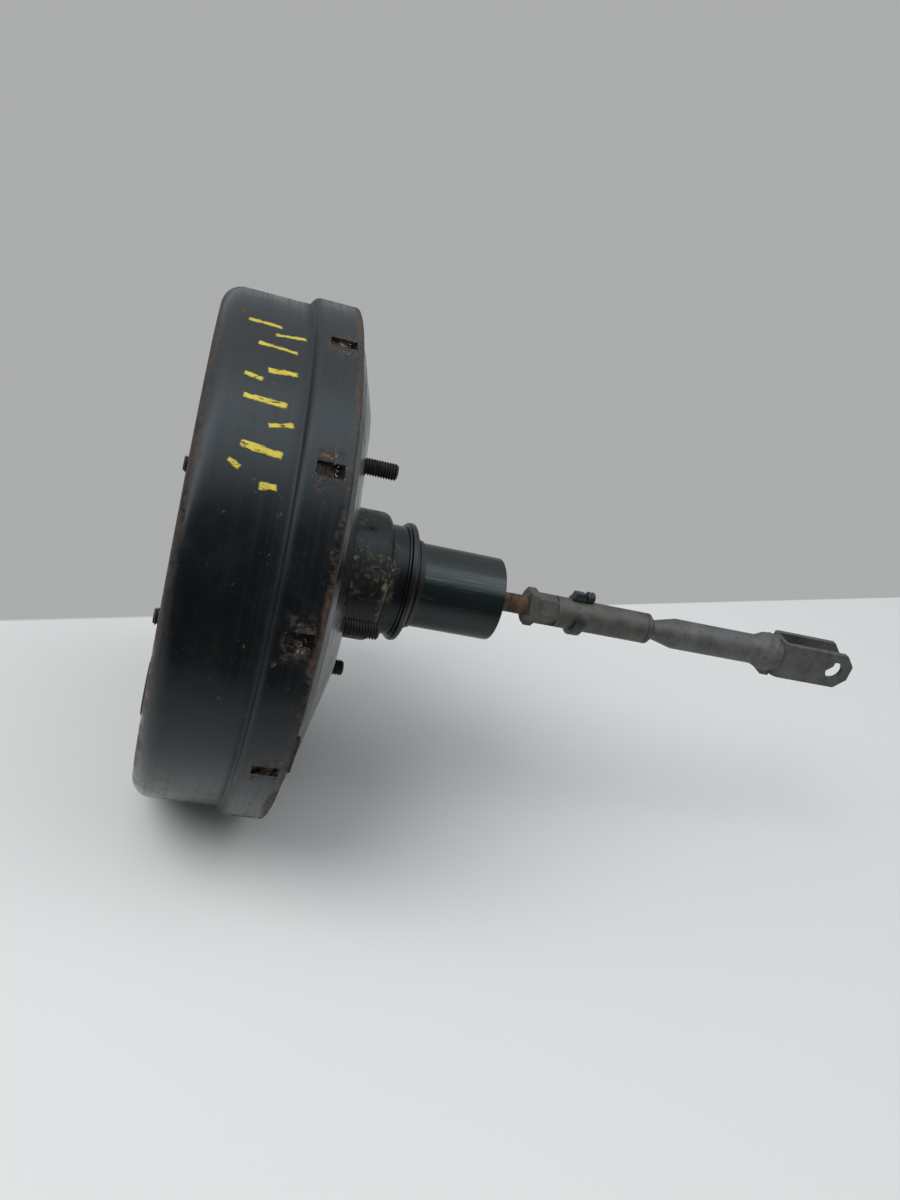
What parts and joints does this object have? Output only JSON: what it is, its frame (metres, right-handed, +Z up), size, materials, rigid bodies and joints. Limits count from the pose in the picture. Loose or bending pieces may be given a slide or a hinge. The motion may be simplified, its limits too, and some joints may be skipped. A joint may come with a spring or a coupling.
{
  "type": "vacuum brake booster",
  "caption": "Round steel vacuum booster that multiplies pedal force, with a stepped rim, bulkhead studs, a tubular valve body and an adjustable pushrod ending in a clevis.",
  "frame": {"origin": "centre of the bulkhead mounting pad, on the booster's axis", "axes": "+X along the axis towards the pedal, +Z up, +Y to the side"},
  "size_m": [0.3668, 0.239, 0.239],
  "materials": {
    "black_steel": "worn black paint",
    "plated_steel": "zinc plated",
    "stud_steel": "dark plated",
    "spring_steel": "satin",
    "rubber": "matte",
    "nylon": "matte",
    "black_resin": "gloss",
    "felt": "fibrous",
    "rusty_steel": "light rust",
    "dark_steel": "dull",
    "clip_nylon": "satin"
  },
  "bodies": {
    "housing": {"front_shell": "black_steel", "rear_shell": "black_steel", "front_reinforcement_plate": "plated_steel", "rear_reinforcement_plate": "plated_steel", "firewall_studs": "stud_steel", "master_cylinder_studs": "stud_steel", "front_seal": "rubber", "front_seal_retainer": "plated_steel", "check_valve_grommet": "rubber", "rear_seal": "rubber", "neck_cap": "black_steel", "rear_guide_bush": "nylon", "guide_retainer": "plated_steel", "diaphragm": "rubber"},
    "power_piston": {"valve_body": "black_resin", "diaphragm_plate": "plated_steel", "return_spring": "spring_steel", "reaction_disc": "rubber", "output_rod": "plated_steel", "output_rod_retainer": "spring_steel", "poppet_valve": "rubber", "poppet_retainer": "nylon", "poppet_spring": "spring_steel", "rod_return_spring": "spring_steel", "air_filter": "felt", "silencer_foam": "felt"},
    "control_plunger": {"control_plunger": "plated_steel", "stop_key": "plated_steel"},
    "pedal_rod": {"input_rod": "rusty_steel", "rod_spring_seat": "plated_steel", "lock_nut": "dark_steel", "pushrod_coupler": "dark_steel", "coupler_clip": "clip_nylon", "end_rod": "dark_steel", "clevis": "dark_steel"}
  },
  "joints": [
    {"name": "piston_stroke", "type": "slide", "parent": "housing", "child": "power_piston", "axis": [-1, 0, 0], "range_m": [0, 0.03], "stiffness_N_per_m": 2500, "deforming": ["return_spring", "diaphragm"]},
    {"name": "valve_travel", "type": "slide", "parent": "power_piston", "child": "control_plunger", "axis": [-1, 0, 0], "range_m": [0, 0.002], "stiffness_N_per_m": 1500, "deforming": ["poppet_valve", "poppet_spring", "rod_return_spring"]},
    {"name": "rod_tilt", "type": "hinge", "parent": "control_plunger", "child": "pedal_rod", "pos_m": [0.0065, 0, 0], "axis": [0, 1, 0], "range_deg": [-3, 3]}
  ]
}
